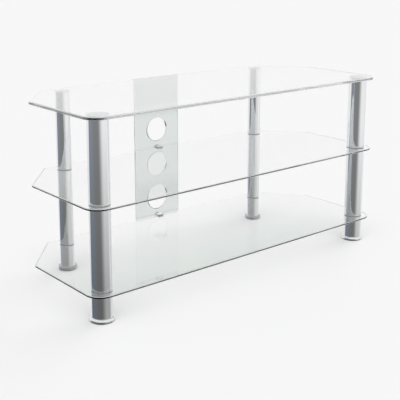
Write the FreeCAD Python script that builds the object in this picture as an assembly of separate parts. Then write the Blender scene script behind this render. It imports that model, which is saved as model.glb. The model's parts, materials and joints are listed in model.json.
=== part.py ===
"""Corner television stand: three glass shelves on four chromed tube legs, with a glass cable panel.

Millimetres, +Z up, +X to the right seen from the front, +Y towards the wall.
The origin is on the floor, under the middle of the stand's outline.
"""
import FreeCAD, Part
import os
from FreeCAD import Vector

# Shelf plan: a rectangle whose two rear corners are cut off to fit a room's corner.
shelf_width = 956.0
shelf_depth = 402.0
corner_cut_width = 108.0
corner_cut_depth = 129.0
front_corner_radius = 42.0
side_corner_radius = 6.0
rear_corner_radius = 10.0
edge_chamfer = 1.0

# Glass thicknesses.
top_glass = 8.0
shelf_glass = 5.0
panel_glass = 5.0

# Leg places on the plan, in from the shelf's edges.
front_leg_inset = 42.0
front_leg_setback = 42.0
rear_leg_inset = 34.0
rear_leg_setback = 42.0

# Leg tubes.
front_tube_diameter = 50.0
rear_tube_diameter = 38.0
tube_wall = 1.5
lower_tube_length = 56.0
middle_tube_length = 196.0
upper_tube_length = 187.0
tube_end_thickness = 3.0
tube_end_chamfer = 0.6

# Washers and bushes that keep metal off the glass.
washer_thickness = 1.0
washer_inset = 0.5
bush_wall = 1.6

# Tie rod that pulls each leg together, and the plug it screws into.
rod_diameter = 10.0
rod_engagement = 15.0
plug_length = 30.0
plug_rod_depth = 9.5

# Flange bonded under the top glass.
flange_rim = 1.5
flange_thickness = 2.0
hub_height = 7.0
spigot_length = 10.0

# Levelling feet.
front_foot_diameter = 58.0
rear_foot_diameter = 48.0
foot_thickness = 8.5
front_foot_rounding = 6.0
rear_foot_rounding = 1.5
foot_stud_length = 18.0
glide_thickness = 2.0
glide_inset = 2.0

# Cable panel behind the middle of the rear edge.
panel_width = 154.0
panel_top_drop = 3.0
panel_bottom_drop = 7.0
panel_corner_radius = 4.0
cable_hole_diameter = 68.0
cable_hole_rise = 51.0

# Clips that hold the panel to the rear edges of the two lower shelves.
clip_width = 17.0
clip_jaw = 3.0
clip_grip = 11.0
clip_web = 6.0
clip_edge_chamfer = 0.8
clip_pad = 1.0
panel_screw_diameter = 5.0
panel_screw_hole = 7.0
panel_screw_bite = 5.0
panel_screw_head = 10.0
panel_screw_head_height = 3.0
panel_washer_diameter = 16.0
panel_washer_thickness = 1.0
set_screw_diameter = 4.0
screw_socket = 2.5
screw_socket_depth = 1.5

# Clearances: round parts that slide together, and round parts that only pass through.
sliding_clearance = 0.1
passing_clearance = 0.2

# Heights, from the floor up.
foot_top = glide_thickness + foot_thickness
lower_tube_top = foot_top + lower_tube_length
bottom_shelf_low = lower_tube_top + washer_thickness
bottom_shelf_top = bottom_shelf_low + shelf_glass
middle_tube_low = bottom_shelf_top + washer_thickness
middle_tube_top = middle_tube_low + middle_tube_length
middle_shelf_low = middle_tube_top + washer_thickness
middle_shelf_top = middle_shelf_low + shelf_glass
upper_tube_low = middle_shelf_top + washer_thickness
upper_tube_top = upper_tube_low + upper_tube_length
flange_low = upper_tube_top + hub_height
top_shelf_low = flange_low + flange_thickness
top_shelf_top = top_shelf_low + top_glass

# Places from front to back, with the outline's middle at zero.
panel_stand_off = clip_web + clip_pad
behind_shelves = panel_stand_off + panel_glass + panel_washer_thickness + panel_screw_head_height
front_edge_y = -(shelf_depth + behind_shelves) / 2
rear_edge_y = front_edge_y + shelf_depth
side_end_y = rear_edge_y - corner_cut_depth
rear_edge_x = shelf_width / 2 - corner_cut_width
panel_front_y = rear_edge_y + panel_stand_off
panel_back_y = panel_front_y + panel_glass
front_leg_x = shelf_width / 2 - front_leg_inset
front_leg_y = front_edge_y + front_leg_setback
rear_leg_x = rear_edge_x - rear_leg_inset
rear_leg_y = rear_edge_y - rear_leg_setback

shelf_lows = (bottom_shelf_low, middle_shelf_low)
rod_passage = rod_diameter / 2 + passing_clearance
bush_radius = rod_passage + bush_wall
glass_hole_radius = bush_radius + passing_clearance

# Each leg: its place on the plan, its tube diameter and its foot diameter.
legs = {
    "front_left": (-front_leg_x, front_leg_y, front_tube_diameter, front_foot_diameter),
    "front_right": (front_leg_x, front_leg_y, front_tube_diameter, front_foot_diameter),
    "rear_left": (-rear_leg_x, rear_leg_y, rear_tube_diameter, rear_foot_diameter),
    "rear_right": (rear_leg_x, rear_leg_y, rear_tube_diameter, rear_foot_diameter),
}


def save(name, shapes):
    """Write one node, as a single solid or as a group of loose solids."""
    shape = shapes[0] if len(shapes) == 1 else Part.makeCompound(shapes)
    shape.exportStep("parts/" + name + ".step")


def turned(profile, x, y):
    """Turn a closed profile of (radius, height) points about an upright axis at x, y."""
    points = [Vector(radius, 0, height) for radius, height in profile]
    face = Part.Face(Part.makePolygon(points + points[:1]))
    solid = face.revolve(Vector(0, 0, 0), Vector(0, 0, 1), 360)
    solid.translate(Vector(x, y, 0))
    return solid


def ring(x, y, low, height, outer, inner):
    """A flat-ended ring or sleeve about an upright axis."""
    return turned([(inner, low), (outer, low), (outer, low + height), (inner, low + height)], x, y)


def along_y(radius, y, length, x, z):
    """A round bar that runs towards the back from y."""
    return Part.makeCylinder(radius, length, Vector(x, y, z), Vector(0, 1, 0))


def upright_edges(solid, x, y):
    """The vertical edges of a plate that stand at plus or minus x and at y."""
    found = []
    for edge in solid.Edges:
        centre = edge.CenterOfMass
        upright = edge.BoundBox.ZLength > 0.5 * solid.BoundBox.ZLength
        if upright and abs(abs(centre.x) - x) < 0.01 and abs(centre.y - y) < 0.01:
            found.append(edge)
    return found


def shelf(low, thickness):
    """A glass shelf before drilling: the cut-corner plan with rounded corners and ground edges."""
    half_width = shelf_width / 2
    right_side = [(half_width, front_edge_y), (half_width, side_end_y), (rear_edge_x, rear_edge_y)]
    left_side = [(-x, y) for x, y in reversed(right_side)]
    points = [Vector(x, y, low) for x, y in right_side + left_side]
    plate = Part.Face(Part.makePolygon(points + points[:1])).extrude(Vector(0, 0, thickness))
    radii = (front_corner_radius, side_corner_radius, rear_corner_radius)
    for (x, y), radius in zip(right_side, radii):
        plate = plate.makeFillet(radius, upright_edges(plate, x, y))
    rims = [edge for edge in plate.Edges if edge.BoundBox.ZLength < 0.5 * thickness]
    return plate.makeChamfer(edge_chamfer, rims)


def drilled(plate, low, thickness):
    """A shelf with a hole for each leg's tie rod."""
    for x, y, _, _ in legs.values():
        plate = plate.cut(Part.makeCylinder(glass_hole_radius, thickness, Vector(x, y, low)))
    return plate


def tube(x, y, low, length, diameter):
    """A leg tube with lightly broken outer edges."""
    outer = diameter / 2
    inner = outer - tube_wall
    high = low + length
    profile = [
        (inner, low),
        (outer - tube_end_chamfer, low),
        (outer, low + tube_end_chamfer),
        (outer, high - tube_end_chamfer),
        (outer - tube_end_chamfer, high),
        (inner, high),
    ]
    return turned(profile, x, y)


def tube_inside(diameter):
    """Radius of a plug that slides into a tube of this outer diameter."""
    return diameter / 2 - tube_wall - sliding_clearance


def top_flange(x, y, diameter):
    """Flange bonded under the top glass, with a hub as wide as the tube and a spigot inside it."""
    hole = rod_diameter / 2 + sliding_clearance
    spigot_low = upper_tube_top - spigot_length
    rim = diameter / 2 + flange_rim
    profile = [
        (hole, spigot_low),
        (tube_inside(diameter), spigot_low),
        (tube_inside(diameter), upper_tube_top),
        (diameter / 2, upper_tube_top),
        (diameter / 2, flange_low),
        (rim, flange_low),
        (rim, top_shelf_low),
        (0, top_shelf_low),
        (0, spigot_low + rod_engagement),
        (hole, spigot_low + rod_engagement),
    ]
    return turned(profile, x, y)


def tie_rod(x, y):
    """Rod from the top flange down through both lower shelves into the lower plug."""
    low = foot_top + plug_length - plug_rod_depth
    high = upper_tube_top - spigot_length + rod_engagement
    return Part.makeCylinder(rod_diameter / 2, high - low, Vector(x, y, low))


def lower_plug(x, y, diameter):
    """Plug fixed in the lower tube: the tie rod screws in from above and the foot from below."""
    hole = rod_diameter / 2 + sliding_clearance
    return ring(x, y, foot_top, plug_length, tube_inside(diameter), hole)


def foot(x, y, diameter, rounding):
    """Levelling foot: a disc with a rounded upper edge on a threaded stud."""
    disc = Part.makeCylinder(diameter / 2, foot_thickness, Vector(x, y, glide_thickness))
    upper = [edge for edge in disc.Edges if edge.Closed and edge.CenterOfMass.z > foot_top - 0.01]
    disc = disc.makeFillet(rounding, upper)
    stud = Part.makeCylinder(rod_diameter / 2, foot_stud_length, Vector(x, y, foot_top))
    return disc.fuse(stud).removeSplitter()


def glide(x, y, diameter):
    """Soft pad under a foot."""
    return Part.makeCylinder(diameter / 2 - glide_inset, glide_thickness, Vector(x, y, 0))


def shelf_washers(x, y, diameter):
    """Washers above and below both lower shelves at one leg."""
    outer = diameter / 2 - washer_inset
    made = []
    for low in shelf_lows:
        for height in (low - washer_thickness, low + shelf_glass):
            made.append(ring(x, y, height, washer_thickness, outer, rod_passage))
    return made


def tube_ends(x, y, diameter):
    """End plates set flush in the tube ends that meet the two lower shelves."""
    lows = []
    for low in shelf_lows:
        lows.append(low - washer_thickness - tube_end_thickness)
        lows.append(low + shelf_glass + washer_thickness)
    return [ring(x, y, low, tube_end_thickness, tube_inside(diameter), rod_passage) for low in lows]


def cable_panel():
    """Glass panel behind the rear edges, with a cable hole above each lower shelf."""
    low = bottom_shelf_low - panel_bottom_drop
    height = top_shelf_top - panel_top_drop - low
    panel = Part.makeBox(panel_width, panel_glass, height, Vector(-panel_width / 2, panel_front_y, low))
    corners = [edge for edge in panel.Edges if edge.BoundBox.YLength > 0.5 * panel_glass]
    panel = panel.makeFillet(panel_corner_radius, corners)
    for shelf_low in shelf_lows:
        cable_height = shelf_low + shelf_glass + cable_hole_rise
        panel = panel.cut(along_y(cable_hole_diameter / 2, panel_front_y, panel_glass, 0, cable_height))
        clip_height = shelf_low + shelf_glass / 2
        panel = panel.cut(along_y(panel_screw_hole / 2, panel_front_y, panel_glass, 0, clip_height))
    return panel


def shelf_clip(low):
    """Clip whose jaws grip a shelf's rear edge and whose back carries the cable panel."""
    slot = shelf_glass + 2 * clip_pad
    height = slot + 2 * clip_jaw
    jaw_low = low - clip_pad - clip_jaw
    front_y = rear_edge_y - clip_grip
    body = Part.makeBox(clip_width, clip_grip + clip_web, height, Vector(-clip_width / 2, front_y, jaw_low))
    body = body.makeChamfer(clip_edge_chamfer, body.Edges)
    slot_corner = Vector(-clip_width / 2, front_y, low - clip_pad)
    body = body.cut(Part.makeBox(clip_width, clip_grip, slot, slot_corner))
    screw_radius = panel_screw_diameter / 2 + sliding_clearance
    screw_y = rear_edge_y + clip_web - panel_screw_bite
    body = body.cut(along_y(screw_radius, screw_y, panel_screw_bite, 0, low + shelf_glass / 2))
    set_radius = set_screw_diameter / 2 + sliding_clearance
    return body.cut(Part.makeCylinder(set_radius, clip_jaw, Vector(0, rear_edge_y - clip_grip / 2, jaw_low)))


def clip_pads(low):
    """Soft pads above and below the glass in a clip, and one between the clip and the panel."""
    width = clip_width - 2 * clip_edge_chamfer
    grip = clip_grip - 2 * clip_edge_chamfer
    front_y = rear_edge_y - grip
    pads = []
    for height in (low - clip_pad, low + shelf_glass):
        pads.append(Part.makeBox(width, grip, clip_pad, Vector(-width / 2, front_y, height)))
    back_height = shelf_glass + 2 * (clip_pad + clip_jaw - clip_edge_chamfer)
    back_low = low + shelf_glass / 2 - back_height / 2
    corner = Vector(-width / 2, rear_edge_y + clip_web, back_low)
    back = Part.makeBox(width, clip_pad, back_height, corner)
    hole = along_y(panel_screw_hole / 2, corner.y, clip_pad, 0, low + shelf_glass / 2)
    return pads + [back.cut(hole)]


def key_socket(mouth, direction):
    """Round key socket sunk into a screw's end at its mouth, along the given direction."""
    return Part.makeCylinder(screw_socket / 2, screw_socket_depth, mouth, direction)


def set_screw(low):
    """Set screw that presses a clip's lower pad against the glass."""
    jaw_low = low - clip_pad - clip_jaw
    y = rear_edge_y - clip_grip / 2
    screw = Part.makeCylinder(set_screw_diameter / 2, clip_jaw, Vector(0, y, jaw_low))
    return screw.cut(key_socket(Vector(0, y, jaw_low), Vector(0, 0, 1)))


def panel_screw(low):
    """Button-headed screw that holds the panel to a clip from behind."""
    height = low + shelf_glass / 2
    tip_y = rear_edge_y + clip_web - panel_screw_bite
    head_y = panel_back_y + panel_washer_thickness
    shank = along_y(panel_screw_diameter / 2, tip_y, head_y - tip_y, 0, height)
    head = along_y(panel_screw_head / 2, head_y, panel_screw_head_height, 0, height)
    back_y = head_y + panel_screw_head_height
    rim = [edge for edge in head.Edges if edge.Closed and abs(edge.CenterOfMass.y - back_y) < 0.01]
    head = head.makeFillet(panel_screw_head_height / 2, rim)
    screw = shank.fuse(head).removeSplitter()
    return screw.cut(key_socket(Vector(0, back_y, height), Vector(0, -1, 0)))


def panel_washer(low):
    """Washer between a panel screw's head and the glass."""
    height = low + shelf_glass / 2
    washer = along_y(panel_washer_diameter / 2, panel_back_y, panel_washer_thickness, 0, height)
    hole_radius = panel_screw_diameter / 2 + passing_clearance
    return washer.cut(along_y(hole_radius, panel_back_y, panel_washer_thickness, 0, height))


def shelf_bushes(x, y):
    """Bushes that line the tie rod's holes in both lower shelves."""
    return [ring(x, y, low, shelf_glass, bush_radius, rod_passage) for low in shelf_lows]


os.makedirs("parts", exist_ok=True)

save("top_shelf", [shelf(top_shelf_low, top_glass)])
save("middle_shelf", [drilled(shelf(middle_shelf_low, shelf_glass), middle_shelf_low, shelf_glass)])
save("bottom_shelf", [drilled(shelf(bottom_shelf_low, shelf_glass), bottom_shelf_low, shelf_glass)])
save("cable_panel", [cable_panel()])
save("middle_shelf_clip", [shelf_clip(middle_shelf_low)])
save("bottom_shelf_clip", [shelf_clip(bottom_shelf_low)])
save("clip_pads", [pad for low in shelf_lows for pad in clip_pads(low)])
save("clip_set_screws", [set_screw(low) for low in shelf_lows])
save("panel_screws", [panel_screw(low) for low in shelf_lows])
save("panel_washers", [panel_washer(low) for low in shelf_lows])
save("shelf_bushes", [bush for x, y, _, _ in legs.values() for bush in shelf_bushes(x, y)])

for pair in ("front", "rear"):
    paired = [place for name, place in legs.items() if name.startswith(pair)]
    save(pair + "_shelf_washers", [w for x, y, d, _ in paired for w in shelf_washers(x, y, d)])
    save(pair + "_tube_ends", [end for x, y, d, _ in paired for end in tube_ends(x, y, d)])

for name, (x, y, tube_diameter, foot_diameter) in legs.items():
    save(name + "_top_flange", [top_flange(x, y, tube_diameter)])
    save(name + "_upper_tube", [tube(x, y, upper_tube_low, upper_tube_length, tube_diameter)])
    save(name + "_middle_tube", [tube(x, y, middle_tube_low, middle_tube_length, tube_diameter)])
    save(name + "_lower_tube", [tube(x, y, foot_top, lower_tube_length, tube_diameter)])
    save(name + "_tie_rod", [tie_rod(x, y)])
    save(name + "_lower_plug", [lower_plug(x, y, tube_diameter)])
    rounding = front_foot_rounding if name.startswith("front") else rear_foot_rounding
    save(name + "_foot", [foot(x, y, foot_diameter, rounding)])
    save(name + "_glide", [glide(x, y, foot_diameter)])
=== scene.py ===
# %% [markdown]
# # A glass and chrome corner stand, dressed for its picture
#
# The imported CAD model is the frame: every glass shelf, tube and foot is already at its real size and place.
# This lesson gives each visible piece its finish, and rebuilds the ones whose edges catch the light,
# because a mirror-bright tube or a clear sheet of glass is drawn by its edges and by what it reflects.

# %% Load the frame
import json
import math

import bmesh
import bpy
from mathutils import Matrix, Vector


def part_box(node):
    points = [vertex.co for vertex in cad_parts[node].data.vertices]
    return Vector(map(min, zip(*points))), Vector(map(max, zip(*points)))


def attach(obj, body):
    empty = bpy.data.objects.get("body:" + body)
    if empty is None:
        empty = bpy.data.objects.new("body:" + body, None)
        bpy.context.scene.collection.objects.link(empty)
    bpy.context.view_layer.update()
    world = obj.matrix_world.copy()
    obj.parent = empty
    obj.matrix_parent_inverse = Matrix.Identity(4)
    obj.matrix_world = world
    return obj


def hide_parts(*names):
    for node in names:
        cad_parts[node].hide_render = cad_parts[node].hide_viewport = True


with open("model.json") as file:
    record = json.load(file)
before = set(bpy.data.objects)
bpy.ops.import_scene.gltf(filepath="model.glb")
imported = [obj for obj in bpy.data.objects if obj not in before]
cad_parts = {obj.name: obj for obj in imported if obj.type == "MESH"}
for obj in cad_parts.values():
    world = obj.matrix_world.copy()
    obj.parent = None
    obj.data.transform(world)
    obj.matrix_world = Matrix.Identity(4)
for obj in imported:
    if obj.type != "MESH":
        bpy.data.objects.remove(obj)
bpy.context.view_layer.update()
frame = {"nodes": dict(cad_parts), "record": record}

nodes = frame["nodes"]
LEGS = ("front_left", "front_right", "rear_left", "rear_right")

# %% [markdown]
# ## Units and small helpers
#
# Blender works in metres and the workshop in millimetres, so one value turns the one into the other.
# Colours are written as sRGB hex, as a paint chart would give them, and turned to the linear light that
# shaders add and multiply. One function adds a node to a node tree, with its settings and its links.

# %% Units, colour and node helpers
MM = 0.001


def linear(hex_colour):
    """The linear RGBA of an sRGB hex colour."""
    shares = [int(hex_colour[i:i + 2], 16) / 255 for i in (1, 3, 5)]
    return tuple(s / 12.92 if s <= 0.04045 else ((s + 0.055) / 1.055) ** 2.4 for s in shares) + (1.0,)


def grain(size_mm):
    """The texture scale, per metre, that makes features of this size."""
    return 1 / (size_mm * MM)


def add_node(tree, kind, inputs=None, **settings):
    """Add one shader node: settings are its properties, inputs are values or sockets to link."""
    node = tree.nodes.new("ShaderNode" + kind)
    for name, value in settings.items():
        setattr(node, name, value)
    for key, value in (inputs or {}).items():
        if isinstance(value, bpy.types.NodeSocket):
            tree.links.new(value, node.inputs[key])
        else:
            node.inputs[key].default_value = value
    return node


def new_material(name):
    """An empty material and its node tree."""
    material = bpy.data.materials.new(name)
    material.use_nodes = True
    material.node_tree.nodes.clear()
    return material, material.node_tree


print("white in linear light:", linear("#FFFFFF"))

# %% [markdown]
# ## The camera
#
# The picture was taken from the front left, from just above the stand. The camera's place was worked out
# from where the legs, the glass edges and the feet fall in the picture, so the lens and the small shift
# are what that framing needs.

# %% Camera
CAMERA_PLACE = Vector((-1.4033, -1.6748, 0.8223))
CAMERA_PITCH_DOWN = 0.2040
CAMERA_HEADING = -0.6953
camera_data = bpy.data.cameras.new("camera")
camera_data.sensor_width = 36.0
camera_data.lens = 75.0
camera_data.shift_y = -0.1875
camera = bpy.data.objects.new("camera", camera_data)
camera.location = CAMERA_PLACE
camera.rotation_euler = (math.pi / 2 - CAMERA_PITCH_DOWN, 0, CAMERA_HEADING)
bpy.context.scene.collection.objects.link(camera)
bpy.context.scene.camera = camera
bpy.context.scene.view_settings.view_transform = "Standard"
print("camera", round(CAMERA_PLACE.length, 3), "m from the stand's foot")

# %% [markdown]
# ## Room for light in the glass
#
# Light that enters the edge of a glass shelf is reflected from face to face until it leaves at the far
# edge, some thirty times in a shelf this deep. The default number of bounces stops it half way and leaves
# black edges, so the limits go up. The other rays end long before them.

# %% Light path limits
BOUNCES = 40
CLEAR_PASSES = 24

light_paths = bpy.context.scene.cycles
light_paths.max_bounces = light_paths.glossy_bounces = light_paths.transmission_bounces = BOUNCES
light_paths.transparent_max_bounces = CLEAR_PASSES
print("light may bounce", light_paths.max_bounces, "times")

# %% [markdown]
# ## The studio: what the chrome looks at
#
# A mirror has no colour of its own. Seen from above, an upright tube reflects what lies below the horizon
# around it, so the studio is drawn there, by heading and by depth: dark cloth on the camera's left, which
# gives each tube its dark core, pale paper in front, which falls off towards the stand, and bright paper
# behind. Above the horizon all is pale, so the glass and the feet reflect a plain soft light. Real cards and
# cloths would have to stand in the room and be kept out of every other view, so the world draws them instead,
# and only for rays that have met a mirror. The camera sees its plain background, also through the glass.

# %% World helpers
BACKGROUND = linear("#F6F6F6")
SKY_LIGHT = 0.42
# The heights, on a sphere of radius 1, that count as close to the stand's foot and as near the horizon.
DEEP, SHALLOW = -0.40, -0.20
# Glossy Depth counts the mirrors that a ray has met, so more than this means at least one.
NO_MIRROR = 0.5

world = bpy.data.worlds.new("studio")
bpy.context.scene.world = world
world.use_nodes = True
sky = world.node_tree
sky.nodes.clear()
toward = add_node(sky, "TexCoord").outputs["Generated"]
height = add_node(sky, "SeparateXYZ", {0: toward}).outputs["Z"]


def heading(degrees, lean=0.0):
    """A level direction, counted from +X towards +Y; lean tips it down."""
    return Vector((math.cos(math.radians(degrees)), math.sin(math.radians(degrees)), -lean))


def side_of(direction, soft_from, soft_to):
    """0 to 1 across a soft edge of the surroundings, rising towards a direction."""
    across = add_node(sky, "VectorMath", {0: toward, 1: direction}, operation="DOT_PRODUCT")
    ends = {"Value": across.outputs["Value"], "From Min": soft_from, "From Max": soft_to}
    return add_node(sky, "MapRange", ends, interpolation_type="SMOOTHSTEP").outputs[0]


def by_depth(deep_value, shallow_value):
    """A brightness that goes from one value close to the stand's foot to another near the horizon."""
    ends = {"Value": height, "From Min": DEEP, "From Max": SHALLOW, "To Min": deep_value, "To Max": shallow_value}
    return add_node(sky, "MapRange", ends).outputs[0]


def blend(share, first, second):
    """A brightness between two, by a share from 0 to 1."""
    return add_node(sky, "Mix", {0: share, 2: first, 3: second}).outputs[0]


def both(first, second):
    """Where two shares overlap."""
    return add_node(sky, "Math", {0: first, 1: second}, operation="MULTIPLY").outputs[0]


print("studio helpers ready, background", round(BACKGROUND[0], 3))

# %% [markdown]
# ## Paper, cloth and sky
#
# Each zone of the studio is a soft-edged share, from 0 to 1, of all directions. The cloth's left edge leans, so
# the dark core narrows to a point along a tube, and its far side is cooler, as cloth in window light is. The
# edge of the stand's own shelves shows in the tubes as a greyer strip.

# %% Paper, cloth and sky
CLOTH_LEAN, CLOTH_EDGE = 2.08, 0.06
CLOTH_BLUE = linear("#DDECFF")
CLOTH_DARK, CLOTH_COOL = (0.14, 0.245), (0.20, 0.35)
PAPER_FRONT, PAPER_BEHIND = (0.41, 0.97), (0.85, 0.95)
SHELF_STRIP, STRIP_EDGE = 0.55, 0.05
HORIZON_EDGE = 0.03
# Which way each zone lies, in degrees, and the cosines to that way between which it sets in.
CLOTH_LEFT_WAY, CLOTH_RIGHT_WAY, COOL_WAY, BEHIND_WAY = 225, 176, 110, 45
CLOTH_RIGHT_FADE, COOL_FADE, BEHIND_FADE = (-0.40, 0.50), (-0.10, 0.75), (0.15, 0.60)
STRIP_WAYS = 278, 92

cloth_line = -CLOTH_LEAN * SHALLOW
cloth_left = side_of(heading(CLOTH_LEFT_WAY, CLOTH_LEAN), cloth_line - CLOTH_EDGE, cloth_line + CLOTH_EDGE)
cloth_right = side_of(heading(CLOTH_RIGHT_WAY), *CLOTH_RIGHT_FADE)
cloth = both(cloth_left, cloth_right)
cloth_cool = side_of(heading(COOL_WAY), *COOL_FADE)
cloth_light = blend(cloth_cool, by_depth(*CLOTH_DARK), by_depth(*CLOTH_COOL))

behind = side_of(heading(BEHIND_WAY), *BEHIND_FADE)
paper_light = blend(behind, by_depth(*PAPER_FRONT), by_depth(*PAPER_BEHIND))
stand_edge = both(*(side_of(heading(way), -STRIP_EDGE, STRIP_EDGE) for way in STRIP_WAYS))
paper_light = blend(stand_edge, paper_light, SHELF_STRIP)

around = blend(cloth, paper_light, cloth_light)
horizon = {"Value": height, "From Min": HORIZON_EDGE, "From Max": -HORIZON_EDGE}
below = add_node(sky, "MapRange", horizon).outputs[0]
mirrored = blend(below, BACKGROUND[0], around)

ray = add_node(sky, "LightPath").outputs
after_mirror = add_node(sky, "Math", {0: ray["Glossy Depth"], 1: NO_MIRROR}, operation="GREATER_THAN").outputs[0]
strength = blend(ray["Is Diffuse Ray"], blend(after_mirror, BACKGROUND[0], mirrored), SKY_LIGHT)
blue_share = both(both(cloth, cloth_cool), both(below, after_mirror))
tint = add_node(sky, "Mix", {0: blue_share, 6: linear("#FFFFFF"), 7: CLOTH_BLUE}, data_type="RGBA").outputs[2]
background = add_node(sky, "Background", {"Color": tint, "Strength": strength})
add_node(sky, "OutputWorld", {"Surface": background.outputs[0]})
print("world:", len(sky.nodes), "nodes")

# %% [markdown]
# ## Floor and light
#
# The floor is plain pale paper that keeps the stand's soft shadow. Rays that have met a mirror pass through
# it, to the surroundings drawn above. A broad lamp high above the stand keeps the shadow under it, and a weaker
# one at the right gives each foot its contact shadow. Chrome and glass don't show the lamps themselves, because
# what they show is drawn above.

# %% Floor and lamps
FLOOR_SIZE = 30.0
# Each lamp's share of the light on the floor, then its elevation, heading and width.
LAMPS = {
    "overhead_window": (0.45, math.radians(78), math.radians(235), math.radians(36)),
    "side_window": (0.13, math.radians(38), math.radians(8), math.radians(50)),
}

# Matt paper: even and pale from every side, with no gloss at all.
paper, tree = new_material("matt_paper")
matt = add_node(tree, "BsdfDiffuse", {"Color": BACKGROUND})
passing = add_node(tree, "BsdfTransparent")
seen = add_node(tree, "LightPath")
mirror_ray = add_node(tree, "Math", {0: seen.outputs["Glossy Depth"], 1: NO_MIRROR}, operation="GREATER_THAN")
surface = add_node(tree, "MixShader", {0: mirror_ray.outputs[0], 1: matt.outputs[0], 2: passing.outputs[0]})
add_node(tree, "OutputMaterial", {"Surface": surface.outputs[0]})

bm = bmesh.new()
bmesh.ops.create_grid(bm, x_segments=1, y_segments=1, size=FLOOR_SIZE / 2)
floor_mesh = bpy.data.meshes.new("floor")
bm.to_mesh(floor_mesh)
bm.free()
floor = bpy.data.objects.new("floor", floor_mesh)
floor_mesh.materials.append(paper)
bpy.context.scene.collection.objects.link(floor)

for name, (share, elevation, direction, width) in LAMPS.items():
    lamp_data = bpy.data.lights.new(name, "SUN")
    lamp_data.energy = share * math.pi / math.sin(elevation)
    lamp_data.angle = width
    lamp = bpy.data.objects.new(name, lamp_data)
    lamp.rotation_euler = (0, math.pi / 2 - elevation, direction)
    lamp.visible_glossy = lamp.visible_transmission = False
    bpy.context.scene.collection.objects.link(lamp)
print("light on the floor:", round(SKY_LIGHT + sum(lamp[0] for lamp in LAMPS.values()), 2), "of a white page")

# %% [markdown]
# ## Clear glass
#
# Float glass is clear through its faces and dark along its edges, because light that enters an edge runs the
# length of the sheet. So most of that colour isn't painted: a weak absorption inside the sheet makes it, and shade
# is painted only on some edges. The thick top is of clearer glass than the shelves, and the cable panel is tinted
# on its faces, so its edges stay pale. The bottom shelf's faces are tinted green towards its front and its left:
# partly the glass's own cast, partly painted shade that stands for the shaded floor under it.
#
# Three face attributes mark places along the edges. Ground faces are the arrises, narrow frosted bevels that
# scatter light. Painted-shade faces are darkened by a colour painted into the glass: most at the front corners,
# where they look straight at the legs, and a little along the side and cut edges and on the hole walls. Far faces
# are the edges at the back, which hardly show when the eye looks at them through the sheet, so they fade for rays
# that are already inside it.
#
# A lamp's light would have to find its way through every sheet by chance, so for light on its way to the
# floor the sheet is simply a clear pane that keeps back a little at each face. The bottom shelf shows no image
# of the panel above it, so mirrors look past the panel's lower half.

# %% Glass function
GLASS_IOR = 1.52
CLEAR, NO_GLOSS = linear("#FFFFFF"), linear("#000000")
FACE_LOSS = linear("#FEFEFE")
ARRIS_COLOUR = linear("#F6F7F6")
ARRIS_ROUGHNESS = 0.45
ARRIS_CLARITY = 0.35
# Painted shade: the colour that darkens the front corners, the side and cut edges and the hole walls.
PAINTED_EDGE_SHADE = linear("#1C2020")
FROST_FROM = 0.5
# The faint waves of drawn glass: their length in mm, their depth, and how much of it shows.
DRAW_MM, DRAW_DEPTH, DRAW_STRENGTH = 60, 0.2 * MM, 0.02
# Ray Depth at a face that is the second or third on a ray's way, as the middle of a range and its half.
INSIDE_DEPTH, INSIDE_HALF = 1.5, 1.0
# A height under the floor, where there is no glass.
NOWHERE = -1.0


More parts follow.
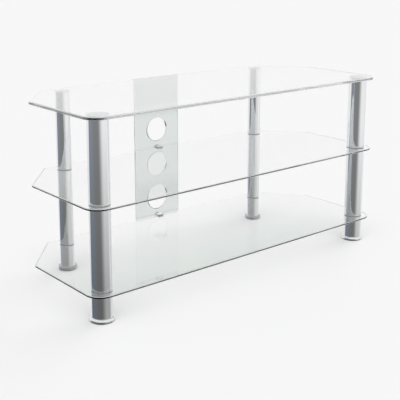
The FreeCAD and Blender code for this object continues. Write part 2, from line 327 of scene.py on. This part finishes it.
def glass(name, tint, density, face_tint=CLEAR, gloss=CLEAR, graded=None, unseen_below=NOWHERE):
    """Clear glass with ground arrises; tint and density colour its depth, and face_tint its faces.

    graded is ({axis: (start, end)}, tint): from start to end along each axis the faces take on the second tint.
    gloss tints what the faces mirror, and below a height of unseen_below the glass shows in no mirror.
    """
    material, tree = new_material(name)
    coords = add_node(tree, "TexCoord").outputs["Object"]
    along = add_node(tree, "SeparateXYZ", {0: coords}).outputs
    draw = add_node(tree, "TexNoise", {"Vector": coords, "Scale": grain(DRAW_MM), "Detail": 1.0})
    wave = add_node(tree, "Bump", {"Height": draw.outputs[0], "Strength": DRAW_STRENGTH, "Distance": DRAW_DEPTH})
    ground = add_node(tree, "Attribute", attribute_name="ground_edge").outputs["Fac"]
    # How much painted shade each face carries, as the sheet marks it.
    corner = add_node(tree, "Attribute", attribute_name="painted_edge_shade").outputs["Fac"]
    frost = add_node(tree, "MapRange", {"Value": ground, "From Min": FROST_FROM}).outputs[0]
    roughness = add_node(tree, "MapRange", {"Value": ground, "To Min": 0.0, "To Max": ARRIS_ROUGHNESS})
    # Painted shade also takes away the clarity of frosted faces, so that it shows.
    frosted = add_node(tree, "MapRange", {"Value": corner, "To Min": ARRIS_CLARITY, "To Max": 0.0}).outputs[0]
    clarity = add_node(tree, "MapRange", {"Value": frost, "To Min": 1.0, "To Max": frosted})
    if graded:
        spans, second_tint = graded
        share = 1.0
        for axis, (start, end) in spans.items():
            ramp = {"Value": along[axis], "From Min": start, "From Max": end, "To Max": share}
            share = add_node(tree, "MapRange", ramp).outputs[0]
        face_tint = add_node(tree, "Mix", {0: share, 6: face_tint, 7: second_tint}, data_type="RGBA").outputs[2]
    edge = add_node(tree, "Mix", {0: frost, 6: face_tint, 7: ARRIS_COLOUR}, data_type="RGBA").outputs[2]
    colour = add_node(tree, "Mix", {0: corner, 6: edge, 7: PAINTED_EDGE_SHADE}, data_type="RGBA").outputs[2]
    skin = add_node(tree, "BsdfPrincipled", {
        "Base Color": colour, "IOR": GLASS_IOR, "Normal": wave.outputs[0], "Specular Tint": gloss,
        "Roughness": roughness.outputs[0], "Transmission Weight": clarity.outputs[0]})
    ray = add_node(tree, "LightPath").outputs
    low = add_node(tree, "Math", {0: along["Z"], 1: unseen_below}, operation="LESS_THAN").outputs[0]
    mirrored = add_node(tree, "Math", {0: ray["Is Reflection Ray"], 1: low}, operation="MULTIPLY").outputs[0]
    far = add_node(tree, "Attribute", attribute_name="far_edge").outputs["Fac"]
    depth_range = {0: ray["Ray Depth"], 1: INSIDE_DEPTH, 2: INSIDE_HALF}
    inside = add_node(tree, "Math", depth_range, operation="COMPARE").outputs[0]
    unseen = add_node(tree, "Math", {0: far, 1: inside, 2: mirrored}, operation="MULTIPLY_ADD").outputs[0]
    to_floor = {0: ray["Is Shadow Ray"], 1: ray["Is Diffuse Ray"]}
    light = add_node(tree, "Math", to_floor, operation="MAXIMUM").outputs[0]
    passed = add_node(tree, "Math", {0: light, 1: unseen}, operation="MAXIMUM").outputs[0]
    loss = add_node(tree, "Mix", {0: light, 6: CLEAR, 7: FACE_LOSS}, data_type="RGBA").outputs[2]
    passing = add_node(tree, "BsdfTransparent", {"Color": loss})
    surface = add_node(tree, "MixShader", {0: passed, 1: skin.outputs[0], 2: passing.outputs[0]})
    output = add_node(tree, "OutputMaterial", {"Surface": surface.outputs[0]})
    if density:
        depth = add_node(tree, "VolumeAbsorption", {"Color": tint, "Density": density})
        tree.links.new(depth.outputs[0], output.inputs["Volume"])
    return material


print("glass bends light by", GLASS_IOR)

# %% The stand's glass
EDGE_TINT = linear("#B0B6B3")
# Painted shade of the floor under the bottom shelf: a green tint on its faces, full at its front and left.
PAINTED_FLOOR_SHADE = ({"Y": (130 * MM, -200 * MM), "X": (450 * MM, 150 * MM)}, linear("#EBF1EE"))
PANEL_TOP_GREY = ({"Z": (360 * MM, 400 * MM)}, linear("#C9D0CE"))
mid_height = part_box("middle_shelf")[0].z

# The middle shelf: clear faces, and dark grey-green edges, where light has run the length of the sheet.
shelf_glass = glass("clear_float_glass", EDGE_TINT, density=5.5)
# The bottom shelf: the same edges, a green cast that is partly painted shade of the floor under it, and too little
# gloss to show what stands on it.
bottom_glass = glass("green_float_glass_painted_shade", EDGE_TINT, density=7.5, gloss=NO_GLOSS, graded=PAINTED_FLOOR_SHADE)
# The thick top: nearly colourless, so that even its long edge stays bright.
top_glass = glass("low_iron_glass", EDGE_TINT, density=0.7)
# The cable panel: an even grey-green pane with pale edges, deeper at its top, which is seen through the top glass.
panel_glass = glass(
    "grey_tinted_glass", CLEAR, density=0.0, face_tint=linear("#E2E7E6"), graded=PANEL_TOP_GREY,
    unseen_below=mid_height)
print("glass:", [m.name for m in (shelf_glass, bottom_glass, top_glass, panel_glass)])

# %% [markdown]
# ## Chrome, zinc and plastics
#
# Chromium plate over polished steel is a cool mirror, with a faint orange peel and the odd wiped smear. The rear
# feet's plate is painted darker, as shade for the shaded floor that they reflect. The hidden rods and plugs are
# zinc plated, a duller blue-grey with crystals. Washers, pads and glides are soft plastics with a fine moulded
# grain. Two functions cover them all, because plated metals differ only in colour, blur and grain, and so do the
# plastics.

# %% Metal and plastic functions
SMEAR_RANGE = (0.35, 0.7)
PEEL_STRENGTH = 0.2
PIT_STRENGTH, PIT_DEPTH = 0.3, 0.05 * MM


def plated(name, colour, dull, smear_mm, peel_mm, peel):
    """A plated metal: smears vary its roughness between two values, and peel is its bump in mm."""
    material, tree = new_material(name)
    coords = add_node(tree, "TexCoord").outputs["Object"]
    smear = add_node(tree, "TexNoise", {"Vector": coords, "Scale": grain(smear_mm), "Detail": 3.0})
    ends = {
        "Value": smear.outputs[0], "From Min": SMEAR_RANGE[0], "From Max": SMEAR_RANGE[1],
        "To Min": dull[0], "To Max": dull[1]}
    roughness = add_node(tree, "MapRange", ends)
    skin = add_node(tree, "TexNoise", {"Vector": coords, "Scale": grain(peel_mm), "Detail": 2.0})
    bump = add_node(tree, "Bump", {"Height": skin.outputs[0], "Strength": PEEL_STRENGTH, "Distance": peel * MM})
    metal = add_node(tree, "BsdfPrincipled", {
        "Base Color": colour, "Metallic": 1.0,
        "Roughness": roughness.outputs[0], "Normal": bump.outputs[0]})
    add_node(tree, "OutputMaterial", {"Surface": metal.outputs[0]})
    return material


def moulded(name, colour, grain_mm, roughness):
    """A moulded plastic with a fine grain."""
    material, tree = new_material(name)
    coords = add_node(tree, "TexCoord").outputs["Object"]
    pits = add_node(tree, "TexNoise", {"Vector": coords, "Scale": grain(grain_mm), "Detail": 2.0})
    bump = add_node(tree, "Bump", {"Height": pits.outputs[0], "Strength": PIT_STRENGTH, "Distance": PIT_DEPTH})
    plastic = add_node(tree, "BsdfPrincipled", {
        "Base Color": colour, "Roughness": roughness, "Normal": bump.outputs[0]})
    add_node(tree, "OutputMaterial", {"Surface": plastic.outputs[0]})
    return material


print("smears spread over noise values", SMEAR_RANGE)

# %% The stand's metals and plastics
# Legs and front feet: a bright, faintly cool mirror with a sharp image of the studio.
chrome = plated("bright_chromium_plate", linear("#EAEBEC"), dull=(0.03, 0.06), smear_mm=35, peel_mm=4, peel=0.004)
# Rear feet: the same mirror, painted much darker as shade, and a little softer.
chrome_painted_shade = plated(
    "chromium_plate_painted_shade", linear("#94979A"), dull=(0.05, 0.09), smear_mm=35, peel_mm=4, peel=0.004)
# Rods, plugs and screws: dull blue-grey, with crystals and no clear image.
zinc = plated("zinc_plated_steel", linear("#C4CAD0"), dull=(0.3, 0.45), smear_mm=8, peel_mm=1.5, peel=0.02)
# Clips: pale satin metal that only glows where the light falls.
clip_metal = plated("satin_nickel", linear("#F3F4F4"), dull=(0.5, 0.6), smear_mm=10, peel_mm=1.2, peel=0.01)
# Bushes and panel washers: milky off-white with a soft sheen.
nylon = moulded("natural_nylon", linear("#DDDCD4"), grain_mm=0.8, roughness=0.45)
# Shelf washers: pale grey lines between tube and glass.
washer_plastic = moulded("clear_pvc", linear("#B4BAB9"), grain_mm=0.8, roughness=0.35)
# Clip pads: pale grey, matt.
rubber = moulded("clear_grey_rubber", linear("#A4A8A8"), grain_mm=0.6, roughness=0.6)
# Glides: a dark line under each foot.
glide_plastic = moulded("grey_polyethylene", linear("#3B3D3F"), grain_mm=0.7, roughness=0.5)
finishes = (chrome, chrome_painted_shade, zinc, clip_metal, nylon, washer_plastic, rubber, glide_plastic)
print("finishes:", [m.name for m in finishes])

# %% [markdown]
# ## Keeping a modelled piece
#
# Every modelled piece ends the same way: its mesh is closed and faces outwards, it sits at the origin with
# its place in its mesh, and it rides a body, hides the CAD node that it takes the place of and takes a material.

# %% Piece helpers
SHARP = math.radians(12)
ROUND_STEPS, FINE_STEPS = 3, 2


def keep_piece(bm, name, body, material, slot, *stands_for):
    """Turn a finished bmesh into a piece of the stand."""
    mesh = bpy.data.meshes.new(name)
    bm.to_mesh(mesh)
    bm.free()
    mesh.materials.append(material)
    piece = bpy.data.objects.new(name, mesh)
    bpy.context.scene.collection.objects.link(piece)
    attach(piece, body)
    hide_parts(*stands_for)
    return piece


def soften(bm, edges, width, segments):
    """Round some edges of a bmesh."""
    bmesh.ops.bevel(
        bm, geom=edges, offset=width, offset_type="OFFSET", affect="EDGES", segments=segments,
        profile=0.5, material=-1, clamp_overlap=True)


def shade_smooth(bm):
    """Smooth shading that stops at real edges."""
    for edge in bm.edges:
        edge.smooth = edge.calc_face_angle(0.0) < SHARP
    for face in bm.faces:
        face.smooth = True


def corners_of(bm, least_degrees=60):
    """The edges where two faces meet at a real corner."""
    return [edge for edge in bm.edges if edge.calc_face_angle(0.0) > math.radians(least_degrees)]


print("edges sharper than", round(math.degrees(SHARP)), "degrees stay sharp")

# %% [markdown]
# ## The glass sheets
#
# A sheet starts as its flat outline. Bevelling the corner vertices rounds them, extruding gives the thickness,
# and a bevel round both rims is the arris, the small ground edge that every glass shelf has and that catches
# the light as a thin pale line. Then the two flat faces are opened, each hole is bridged through four circles,
# so that it has an arris of its own, and the flats are filled again round the holes. A boolean cut would do that
# too, but it leaves stray vertices that no bevel could follow.
#
# The same function writes the attributes that the glass reads, by the way each face looks. A cable hole's wall has
# painted shade along one side and a short painted dark reflection on the other.

# %% Glass sheet function
ARRIS_STEPS = 2
EDGE_POLISH = 0.25
FAR_FADE = 0.95
# Painted shade on the shelves' left rear cut edges, which are frosted so that it shows.
PAINTED_CUT_SHADE = 0.5
CORNER_STEPS = 14
HOLE_STEPS = 64
# Painted shade on one side of a hole's wall and a painted dark reflection on the other: the way that the shaded
# wall looks, and the side where the dark reflection lies, with half its spread.
HOLE_PAINTED_SHADE_SIDE = Vector((0.8, 0.6))
HOLE_PAINTED_GLINT_SIDE, HOLE_PAINTED_GLINT_HALF = Vector((0.94, 0.34)), math.radians(12)
# How far a face's normal leans: a flat face, an upright one, one square to a side, one that looks backwards.
FLAT, UPRIGHT, SQUARE, BACKWARDS = 0.999, 0.05, 0.9, 0.3


def glass_sheet(corners, radii, holes, thickness, arris, ground_sides=False, painted_side_shade=0.0, far_from=1.0):
    """A flat sheet from z 0 up: corner points with the radius of each, and holes as (x, y, radius).

    ground_sides frosts the whole edge, painted_side_shade paints shade on the two side edges, and of the edges
    that look backwards those further to the right than far_from fade when seen through the sheet.
    """
    bm = bmesh.new()
    outline = [bm.verts.new((x, y, 0)) for x, y in corners]
    bm.faces.new(outline)
    for vertex, radius in zip(outline, radii):
        before = (vertex.link_edges[0].other_vert(vertex).co - vertex.co).normalized()
        after = (vertex.link_edges[1].other_vert(vertex).co - vertex.co).normalized()
        run = radius / math.tan(before.angle(after) / 2)
        bmesh.ops.bevel(
            bm, geom=[vertex], offset=run, affect="VERTICES", segments=CORNER_STEPS, profile=0.5, material=-1)
    grown = bmesh.ops.extrude_face_region(bm, geom=list(bm.faces), use_keep_orig=True)
    raised = [item for item in grown["geom"] if isinstance(item, bmesh.types.BMVert)]
    bmesh.ops.translate(bm, verts=raised, vec=(0, 0, thickness))
    bmesh.ops.recalc_face_normals(bm, faces=bm.faces)
    soften(bm, corners_of(bm), arris, ARRIS_STEPS)
    bm.normal_update()
    ground = bm.faces.layers.float.new("ground_edge")
    corner = bm.faces.layers.float.new("painted_edge_shade")
    far = bm.faces.layers.float.new("far_edge")
    for face in bm.faces:
        x, y, z = face.normal
        side = face.normal.xy.normalized()
        face.smooth = abs(z) < FLAT
        if face.smooth:
            face[ground] = 1.0 if ground_sides or abs(z) > UPRIGHT or y > SQUARE else EDGE_POLISH
            if z < UPRIGHT and not ground_sides:
                # Painted shade, full where a front corner looks out diagonally at the legs, and none along the
                # straight edges; the side edges take their own painted shade.
                corner_painted_shade = 1 - (1 - abs(2 * x * y)) ** 2 if y < 0 else 0.0
                face[corner] = max(corner_painted_shade, painted_side_shade if abs(x) > SQUARE else 0.0)
            if side.y > BACKWARDS and side.x > far_from:
                face[far] = FAR_FADE
            # The left cut edges: painted shade, frosted so that it shows.
            elif side.y > BACKWARDS and not ground_sides:
                face[corner], face[ground] = PAINTED_CUT_SHADE, 1.0
    flats = sorted((face for face in bm.faces if not face.smooth), key=lambda face: face.verts[0].co.z)
    rims = [list(face.edges) for face in flats]
    bmesh.ops.delete(bm, geom=flats, context="FACES_ONLY")
    for x, y, radius in holes:
        mouth = radius + arris
        circles = []
        for level, reach in ((0, mouth), (arris, radius), (thickness - arris, radius), (thickness, mouth)):
            place = Matrix.Translation((x, y, level))
            circle = bmesh.ops.create_circle(bm, segments=HOLE_STEPS, radius=reach, matrix=place, cap_ends=False)
            circles.append(list(dict.fromkeys(edge for vertex in circle["verts"] for edge in vertex.link_edges)))
        rims[0].extend(circles[0])
        rims[1].extend(circles[-1])
        for first, second in zip(circles, circles[1:]):
            for wall in bmesh.ops.bridge_loops(bm, edges=first + second)["faces"]:
                inward = (Vector((x, y)) - wall.calc_center_median().xy).normalized()
                glint = inward.angle(-HOLE_PAINTED_GLINT_SIDE) < HOLE_PAINTED_GLINT_HALF
                wall.smooth = True
                wall[ground] = float(ground_sides)
                # A painted dark reflection on the right of the hole, and painted shade on its lower left.
                wall[corner] = 1.0 if glint else max(0.0, inward.dot(HOLE_PAINTED_SHADE_SIDE))
    for rim in rims:
        bmesh.ops.triangle_fill(bm, edges=rim, use_beauty=True, normal=(0, 0, 1))
    bmesh.ops.recalc_face_normals(bm, faces=bm.faces)
    for edge in bm.edges:
        edge.smooth = edge.calc_face_angle(0.0) < SHARP
    return bm


print("a hole has", HOLE_STEPS, "sides and a rounded corner", CORNER_STEPS, "steps")

# %% [markdown]
# ## The three shelves
#
# All three shelves are cut to one plan, a rectangle without its rear corners, so that the stand fits in a corner
# of the room. The top is thicker, with a wider arris, and has no holes: the legs are bonded under it. The rods
# of the legs pass through the other two. The size and height of each come from its CAD node.

# %% The three shelves
CUT_WIDTH, CUT_DEPTH = 108 * MM, 129 * MM
FRONT_RADIUS, SIDE_RADIUS, REAR_RADIUS = 42 * MM, 6 * MM, 10 * MM
ROD_HOLE = 7.0 * MM
TOP_ARRIS, SHELF_ARRIS = 2.1 * MM, 1.1 * MM
# Painted shade on the side edges of the top and of the shelves.
TOP_PAINTED_SIDE_SHADE, SHELF_PAINTED_SIDE_SHADE = 0.55, 0.3
# All of the top's rear edges are far, and those of the shelves but for the left cut.
TOP_FAR, SHELF_FAR = -1.0, -0.3
SHELF_GLASS = {"top_shelf": top_glass, "middle_shelf": shelf_glass, "bottom_shelf": bottom_glass}


def leg_axis(leg):
    """Where a leg stands on the plan."""
    low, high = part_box(leg + "_lower_tube")
    return (low.x + high.x) / 2, (low.y + high.y) / 2


for shelf, material in SHELF_GLASS.items():
    low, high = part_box(shelf)
    right = [(high.x, low.y), (high.x, high.y - CUT_DEPTH), (high.x - CUT_WIDTH, high.y)]
    plan = right + [(-x, y) for x, y in reversed(right)]
    radii = [FRONT_RADIUS, SIDE_RADIUS, REAR_RADIUS]
    at_top = shelf == "top_shelf"
    holes = [] if at_top else [leg_axis(leg) + (ROD_HOLE,) for leg in LEGS]
    arris = TOP_ARRIS if at_top else SHELF_ARRIS
    shade = TOP_PAINTED_SIDE_SHADE if at_top else SHELF_PAINTED_SIDE_SHADE
    far_from = TOP_FAR if at_top else SHELF_FAR
    bm = glass_sheet(
        plan, radii + radii[::-1], holes, high.z - low.z, arris, painted_side_shade=shade, far_from=far_from)
    bmesh.ops.translate(bm, verts=bm.verts, vec=(0, 0, low.z))
    piece = keep_piece(bm, shelf + "_glass", "stand", material, "clear_glass", shelf)
    print(shelf, len(piece.data.polygons), "faces")

# %% [markdown]
# ## The cable panel
#
# The panel is a narrow upright pane behind the shelves, with two large holes for cables and two small ones for
# its screws. It is made lying down, as the shelves are, and then stood up. All its edge is ground.

# %% The cable panel
CABLE_HOLE = 34 * MM
SCREW_HOLE = 3.5 * MM
PANEL_RADIUS = 4 * MM
PANEL_ARRIS = 0.8 * MM

low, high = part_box("cable_panel")
half_width = (high.x - low.x) / 2
plan = [(half_width, low.z), (half_width, high.z), (-half_width, high.z), (-half_width, low.z)]
holes = []
for opening in frame["record"]["physics"]["openings"]:
    if "cable_hole" in opening["name"]:
        low_z, high_z = (corner[2] for corner in opening["box_m"])
        holes.append((0, (low_z + high_z) / 2, CABLE_HOLE))
for clip in ("middle_shelf_clip", "bottom_shelf_clip"):
    clip_low, clip_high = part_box(clip)
    holes.append((0, (clip_low.z + clip_high.z) / 2, SCREW_HOLE))
bm = glass_sheet(plan, [PANEL_RADIUS] * 4, holes, high.y - low.y, PANEL_ARRIS, ground_sides=True)
upright = Matrix.Translation((0, high.y, 0)) @ Matrix.Rotation(math.pi / 2, 4, "X")
bmesh.ops.transform(bm, matrix=upright, verts=bm.verts)
keep_piece(bm, "cable_panel_glass", "stand", panel_glass, "panel_glass", "cable_panel")
print("cable panel with", len(holes), "holes")

# %% [markdown]
# ## Turned pieces
#
# Tubes, flanges, washers and feet are all turned, so each is a half section spun about its leg's axis. A
# cylinder primitive would give plain tubes as well, but a section also takes steps, threads and walls.

# %% Turning function
TURN_STEPS = 96
SAME_PLACE = 0.001 * MM


def turned(section, axis, bm=None):
    """Spin a closed section of (radius, height) points about an upright axis, in a new mesh or a given one."""
    x, y = axis
    bm = bm or bmesh.new()
    ring = [bm.verts.new((x + radius, y, height)) for radius, height in section]
    lines = [bm.edges.new((a, b)) for a, b in zip(ring, ring[1:] + ring[:1])]
    bmesh.ops.spin(
        bm, geom=ring + lines, axis=(0, 0, 1), cent=(x, y, 0), angle=math.tau, steps=TURN_STEPS, use_merge=True)
    bmesh.ops.remove_doubles(bm, verts=bm.verts, dist=SAME_PLACE)
    bmesh.ops.recalc_face_normals(bm, faces=bm.faces)
    return bm


print("turned pieces have", TURN_STEPS, "steps")

# %% [markdown]
# ## The leg tubes
#
# Each leg is a stack of three tubes with rounded ends, and the shelves are clamped between them. The end under
# the top flange is left sharp, because the two fit tightly and no seam shows there. The bottom shelf shows no
# image of the rear legs, so mirrors don't see them.

# %% The leg tubes
TUBE_WALL = 1.5 * MM
TUBE_END = 0.6 * MM

for leg in LEGS:
    for part in ("_upper_tube", "_middle_tube", "_lower_tube"):
        low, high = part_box(leg + part)
        outer = (high.x - low.x) / 2
        inner = outer - TUBE_WALL
        section = [(inner, low.z), (outer, low.z), (outer, high.z), (inner, high.z)]
        bm = turned(section, leg_axis(leg))
        tight = high.z if part == "_upper_tube" else None
        ends = [edge for edge in corners_of(bm) if tight is None or edge.verts[0].co.z < tight - TUBE_END]
        soften(bm, ends, TUBE_END, ROUND_STEPS)
        shade_smooth(bm)
        piece = keep_piece(bm, leg + part + "_chrome", "stand", chrome, "chrome", leg + part)
        piece.visible_glossy = leg.startswith("front")
print("tubes:", 3 * len(LEGS))

# %% [markdown]
# ## The flanges
#
# A flange closes each leg and carries the top glass, which is bonded to its wide flat rim. Its spigot sits inside
# the tube. The rim is sunk into the glass by a hair, because two faces in one place would flicker.

# %% The flanges under the top glass
BOND = 0.05 * MM
SPIGOT_GAP = 0.1 * MM
FLANGE_THICKNESS, FLANGE_EDGE = 2 * MM, 0.4 * MM

for leg in LEGS:
    low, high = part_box(leg + "_top_flange")
    rim = (high.x - low.x) / 2
    tube_low, tube_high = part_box(leg + "_upper_tube")
    hub = (tube_high.x - tube_low.x) / 2
    spigot = hub - TUBE_WALL - SPIGOT_GAP
    rim_low = high.z - FLANGE_THICKNESS
    section = [
        (0, low.z), (spigot, low.z), (spigot, tube_high.z), (hub, tube_high.z), (hub, rim_low),
        (rim, rim_low), (rim, high.z + BOND), (0, high.z + BOND)]
    bm = turned(section, leg_axis(leg))
    loose = [edge for edge in corners_of(bm) if abs(edge.verts[0].co.z - tube_high.z) > FLANGE_EDGE]
    soften(bm, loose, FLANGE_EDGE, FINE_STEPS)
    shade_smooth(bm)
    keep_piece(bm, leg + "_top_flange_chrome", "stand", chrome, "chrome", leg + "_top_flange")
print("flanges:", len(LEGS))

# %% [markdown]
# ## Levelling feet
#
# Each foot is a chromed disc on a threaded stud that screws up into the leg, with a soft glide under it. The
# front discs are well rounded, so they catch the sky as a bright ring. The rear ones are straight, and their
# chrome is painted darker as shade. The thread shows when a foot is let down, so the stud is turned with its
# ridges. They are plain rings, because the slope of a thread this fine doesn't show.

# %% Feet
FRONT_ROUNDING, REAR_ROUNDING = 6 * MM, 1.5 * MM
ROUNDING_STEPS = 10
STUD_RADIUS, STUD_CORE = 5 * MM, 4.3 * MM
THREAD_PITCH = 1.5 * MM
# Where the crest and the root of a ridge lie, in pitches.
CREST, ROOT = 0.75, 1.25
# The disc's upper rim: how close to its top, and how far out as a share of its radius.
SAME_HEIGHT, RIM_SHARE = 0.01 * MM, 0.9

for leg in LEGS:
    low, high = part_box(leg + "_foot")
    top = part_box(leg + "_lower_tube")[0].z
    radius = (high.x - low.x) / 2
    ridges = int((high.z - top) / THREAD_PITCH) - 1
    thread = [(STUD_CORE, top)]
    for ridge in range(ridges):
        thread.append((STUD_RADIUS, top + (ridge + CREST) * THREAD_PITCH))
        thread.append((STUD_CORE, top + (ridge + ROOT) * THREAD_PITCH))
    section = [(0, low.z), (radius, low.z), (radius, top)] + thread + [(STUD_CORE, high.z), (0, high.z)]
    axis = leg_axis(leg)
    bm = turned(section, axis)
    upper_rim = [edge for edge in bm.edges if all(
        abs(vertex.co.z - top) < SAME_HEIGHT and (vertex.co.xy - Vector(axis)).length > RIM_SHARE * radius
        for vertex in edge.verts)]
    front = leg.startswith("front")
    soften(bm, upper_rim, FRONT_ROUNDING if front else REAR_ROUNDING, ROUNDING_STEPS)
    shade_smooth(bm)
    finish = chrome if front else chrome_painted_shade
    piece = keep_piece(bm, leg + "_foot_chrome", leg + "_leveller", finish, "chrome", leg + "_foot")
    piece.visible_glossy = front
print("feet:", len(LEGS), "with", ridges, "thread ridges each")

# %% [markdown]
# ## Glides
#
# A glide is a plain disc of soft plastic under each foot, set in a little from its rim. It is all that touches
# the floor, so it rides with its foot.

# %% Glides
GLIDE_EDGE = 0.6 * MM

for leg in LEGS:
    low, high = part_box(leg + "_glide")
    radius = (high.x - low.x) / 2
    bm = turned([(0, low.z), (radius, low.z), (radius, high.z), (0, high.z)], leg_axis(leg))
    soften(bm, corners_of(bm), GLIDE_EDGE, ROUND_STEPS)
    shade_smooth(bm)
    keep_piece(bm, leg + "_glide_moulded", leg + "_leveller", glide_plastic, "glide_plastic", leg + "_glide")
print("glides:", len(LEGS))

# %% [markdown]
# ## Washers
#
# A thin clear washer keeps each tube end off the glass. Its flat face presses against the shelf, so it is
# sunk into the glass by a hair, because two faces in one place would flicker.

# %% Washers between tubes and shelves
WASHER_INSET = 0.5 * MM
WASHER_THICKNESS = 1.0 * MM
ROD_PASSAGE = 5.2 * MM
WASHER_EDGE = 0.25 * MM

for pair in ("front", "rear"):
    bm = bmesh.new()
    for leg in [name for name in LEGS if name.startswith(pair)]:
        low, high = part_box(leg + "_middle_tube")
        outer = (high.x - low.x) / 2 - WASHER_INSET
        for shelf in ("bottom_shelf", "middle_shelf"):
            under, over = (corner.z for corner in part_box(shelf))
            for base, top in ((under - WASHER_THICKNESS, under + BOND), (over - BOND, over + WASHER_THICKNESS)):
                section = [(ROD_PASSAGE, base), (outer, base), (outer, top), (ROD_PASSAGE, top)]
                turned(section, leg_axis(leg), bm)
    soften(bm, corners_of(bm), WASHER_EDGE, FINE_STEPS)
    shade_smooth(bm)
    keep_piece(bm, pair + "_shelf_washers_pvc", "stand", washer_plastic, "soft_pad", pair + "_shelf_washers")
print("washers:", 4 * len(LEGS))

# %% [markdown]
# ## Screws at the cable panel
#
# A button-headed screw holds the panel to each clip, and a set screw under each clip grips the glass. Both
# have a hexagon socket: six sides of a small circle, inset in the end face and pushed in.

# %% Screw function
SCREW_SIDES = 36
ROUND, HEXAGON = 0, 6


def screw(bm, stations, place):
    """A screw grown through (height, radius, sides) stations; a hexagon that goes back down is its socket."""
    height, radius, sides = stations[0]
    made = bmesh.ops.create_circle(bm, segments=SCREW_SIDES, radius=radius, cap_ends=True)["verts"]
    bmesh.ops.translate(bm, verts=made, vec=(0, 0, height))
    cap = made[0].link_faces[0]
    for height, radius, sides in stations[1:]:
        grown = bmesh.ops.extrude_face_region(bm, geom=[cap])["geom"]
        ring = [item for item in grown if isinstance(item, bmesh.types.BMVert)]
        cap = next(item for item in grown if isinstance(item, bmesh.types.BMFace))
        flat = math.pi / sides if sides else 0.0
        for vertex in ring:
            angle = math.atan2(vertex.co.y, vertex.co.x)
            reach = radius * math.cos(flat) / math.cos(angle % (2 * flat) - flat) if sides else radius
            vertex.co = Vector((reach * math.cos(angle), reach * math.sin(angle), height))
        made = made + ring
    bmesh.ops.transform(bm, matrix=place, verts=made)


print("screws have", SCREW_SIDES, "sides")

# %% Panel screws and set screws
HEAD_HEIGHT = 3.0 * MM
SHANK_RADIUS, SET_RADIUS, SET_LENGTH = 2.5 * MM, 2.0 * MM, 3.0 * MM
SOCKET_RADIUS, SOCKET_DEPTH = 1.4 * MM, 1.5 * MM
# The domed head, as mm below its top and the radius there in mm.
CROWN = ((3.0, 5.0), (1.5, 5.0), (0.9, 4.85), (0.4, 4.4), (0.1, 3.8), (0.0, 3.2))

panel_bm, set_bm = bmesh.new(), bmesh.new()
tip_y, end_y = (corner.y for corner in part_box("panel_screws"))
set_y = sum(corner.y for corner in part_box("clip_set_screws")) / 2
length = end_y - tip_y
for clip in ("middle_shelf_clip", "bottom_shelf_clip"):
    low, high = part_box(clip)
    shank = [(0, SHANK_RADIUS, ROUND), (length - HEAD_HEIGHT, SHANK_RADIUS, ROUND)]
    head = [(length - down * MM, reach * MM, ROUND) for down, reach in CROWN]
    socket = [(length, SOCKET_RADIUS, HEXAGON), (length - SOCKET_DEPTH, SOCKET_RADIUS, HEXAGON)]
    backwards = Matrix.Translation((0, tip_y, (low.z + high.z) / 2)) @ Matrix.Rotation(-math.pi / 2, 4, "X")
    screw(panel_bm, shank + head + socket, backwards)
    body = [(0, SET_RADIUS, ROUND), (SET_LENGTH, SET_RADIUS, ROUND)]
    socket = [(SET_LENGTH, SOCKET_RADIUS, HEXAGON), (SET_LENGTH - SOCKET_DEPTH, SOCKET_RADIUS, HEXAGON)]
    downwards = Matrix.Translation((0, set_y, low.z + SET_LENGTH)) @ Matrix.Rotation(math.pi, 4, "X")
    screw(set_bm, body + socket, downwards)
for bm, node in ((panel_bm, "panel_screws"), (set_bm, "clip_set_screws")):
    bmesh.ops.recalc_face_normals(bm, faces=bm.faces)
    shade_smooth(bm)
    piece = keep_piece(bm, node + "_socketed", "stand", zinc, "zinc_steel", node)
    print(piece.name, len(piece.data.polygons), "faces")

# %% [markdown]
# ## Pieces that keep their CAD shape
#
# Small plain pieces and those inside the tubes are already right, so they only get their finish. They are too
# small or too well hidden to show in any mirror of the stand.

# %% Finishes for the CAD nodes that stay
FINISHES = {
    "tie_rod": zinc, "lower_plug": zinc, "tube_ends": zinc, "shelf_bushes": nylon, "clip_pads": rubber,
    "shelf_clip": clip_metal, "panel_washers": nylon,
}
for name, node in nodes.items():
    for ending, material in FINISHES.items():
        if name.endswith(ending) and not node.hide_render:
            node.data.materials.clear()
            node.data.materials.append(material)
            node.visible_glossy = False
bare = [n for n, o in nodes.items() if not o.hide_render and o.data.materials[0] not in FINISHES.values()]
print("CAD nodes shown:", len([o for o in nodes.values() if not o.hide_render]), "without a finish:", bare)
